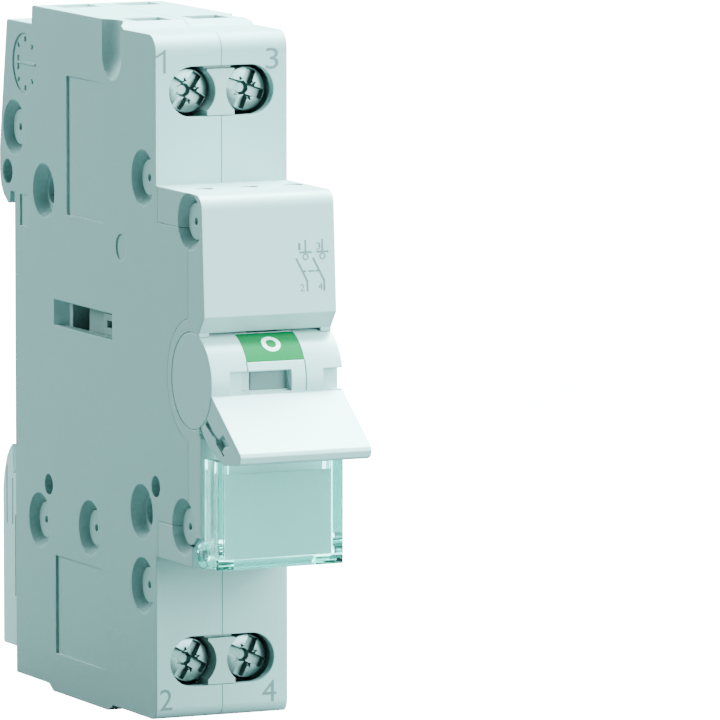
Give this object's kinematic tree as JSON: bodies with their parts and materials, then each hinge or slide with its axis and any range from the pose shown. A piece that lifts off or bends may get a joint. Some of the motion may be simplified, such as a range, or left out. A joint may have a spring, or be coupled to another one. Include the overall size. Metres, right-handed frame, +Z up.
{
  "type": "din rail switch disconnector",
  "caption": "One-module two-pole switch disconnector for a 35 mm rail, with a flap lever, clamp terminals, a sliding rail clip and a clear flip-up label holder.",
  "frame": {"origin": "middle of the rear face that bears on the mounting rail, on the rail's centre line", "axes": "+Y out of the rear face towards the rail and its panel, +Z up along the tall side, +X across the module to the right seen from the front"},
  "size_m": [0.0174, 0.0736, 0.0852],
  "materials": {
    "case_grey": "fine satin",
    "cover_grey": "satin",
    "guide_grey": "satin",
    "inner_white": "satin",
    "lever_grey": "satin",
    "green": "smooth",
    "red": "smooth",
    "copper": "drawn copper",
    "spring_steel": "drawn",
    "zinc_steel": "zinc plated",
    "rivet_grey": "satin",
    "clip_grey": "satin",
    "clear_aqua": "clear, tinted",
    "card": "plain"
  },
  "bodies": {
    "case": {"left_case": "case_grey", "right_case": "case_grey", "front_cover": "cover_grey", "upper_partition": "inner_white", "lower_partition": "inner_white", "upper_screw_guide": "guide_grey", "lower_screw_guide": "guide_grey", "opening_spring": "spring_steel", "terminal_bar_1": "copper", "terminal_bar_2": "copper", "terminal_bar_3": "copper", "terminal_bar_4": "copper", "rivet_1": "rivet_grey", "rivet_2": "rivet_grey", "rivet_3": "rivet_grey", "rivet_4": "rivet_grey", "rivet_5": "rivet_grey", "rivet_6": "rivet_grey", "rivet_7": "rivet_grey"},
    "toggle": {"toggle": "lever_grey", "indicator_off": "green", "indicator_on": "red", "crank_pin": "spring_steel"},
    "carrier": {"carrier": "inner_white", "bridge_left": "copper", "bridge_right": "copper", "contact_spring_left": "spring_steel", "contact_spring_right": "spring_steel"},
    "rail_clip": {"rail_clip": "clip_grey"},
    "label_holder": {"label_holder": "clear_aqua", "label_card": "card", "holder_pin": "spring_steel"},
    "screw_1": {"screw_1": "zinc_steel"},
    "cage_1": {"cage_1": "zinc_steel"},
    "screw_2": {"screw_2": "zinc_steel"},
    "cage_2": {"cage_2": "zinc_steel"},
    "screw_3": {"screw_3": "zinc_steel"},
    "cage_3": {"cage_3": "zinc_steel"},
    "screw_4": {"screw_4": "zinc_steel"},
    "cage_4": {"cage_4": "zinc_steel"}
  },
  "joints": [
    {"name": "toggle_turn", "type": "hinge", "parent": "case", "child": "toggle", "pos_m": [0, -0.05455, 0], "axis": [-1, 0, 0], "range_deg": [0, 75]},
    {"name": "carrier_slide", "type": "slide", "parent": "case", "child": "carrier", "axis": [0, 1, 0], "range_m": [0, 0.00341], "deforming": ["opening_spring"]},
    {"name": "clip_slide", "type": "slide", "parent": "case", "child": "rail_clip", "axis": [0, 0, -1], "range_m": [0, 0.0045], "stiffness_N_per_m": 600},
    {"name": "label_flip", "type": "hinge", "parent": "case", "child": "label_holder", "pos_m": [0, -0.0567, -0.02095], "axis": [1, 0, 0], "range_deg": [0, 90]},
    {"name": "cage_slide_1", "type": "slide", "parent": "case", "child": "cage_1", "axis": [0, -1, 0], "range_m": [0, 0.0042]},
    {"name": "screw_turn_1", "type": "hinge", "parent": "case", "child": "screw_1", "pos_m": [-0.00385, -0.041, 0.0338], "axis": [0, 1, 0], "range_deg": [0, 2170]},
    {"name": "cage_slide_2", "type": "slide", "parent": "case", "child": "cage_2", "axis": [0, -1, 0], "range_m": [0, 0.0042]},
    {"name": "screw_turn_2", "type": "hinge", "parent": "case", "child": "screw_2", "pos_m": [-0.00385, -0.041, -0.0358], "axis": [0, 1, 0], "range_deg": [0, 2170]},
    {"name": "cage_slide_3", "type": "slide", "parent": "case", "child": "cage_3", "axis": [0, -1, 0], "range_m": [0, 0.0042]},
    {"name": "screw_turn_3", "type": "hinge", "parent": "case", "child": "screw_3", "pos_m": [0.00385, -0.041, 0.0338], "axis": [0, 1, 0], "range_deg": [0, 2170]},
    {"name": "cage_slide_4", "type": "slide", "parent": "case", "child": "cage_4", "axis": [0, -1, 0], "range_m": [0, 0.0042]},
    {"name": "screw_turn_4", "type": "hinge", "parent": "case", "child": "screw_4", "pos_m": [0.00385, -0.041, -0.0358], "axis": [0, 1, 0], "range_deg": [0, 2170]}
  ],
  "couplings": [
    {"joint": "toggle_turn", "follows": "carrier_slide", "rad_per_m": 383.98},
    {"joint": "screw_turn_1", "follows": "cage_slide_1", "rad_per_m": 8976},
    {"joint": "screw_turn_2", "follows": "cage_slide_2", "rad_per_m": 8976},
    {"joint": "screw_turn_3", "follows": "cage_slide_3", "rad_per_m": 8976},
    {"joint": "screw_turn_4", "follows": "cage_slide_4", "rad_per_m": 8976}
  ]
}
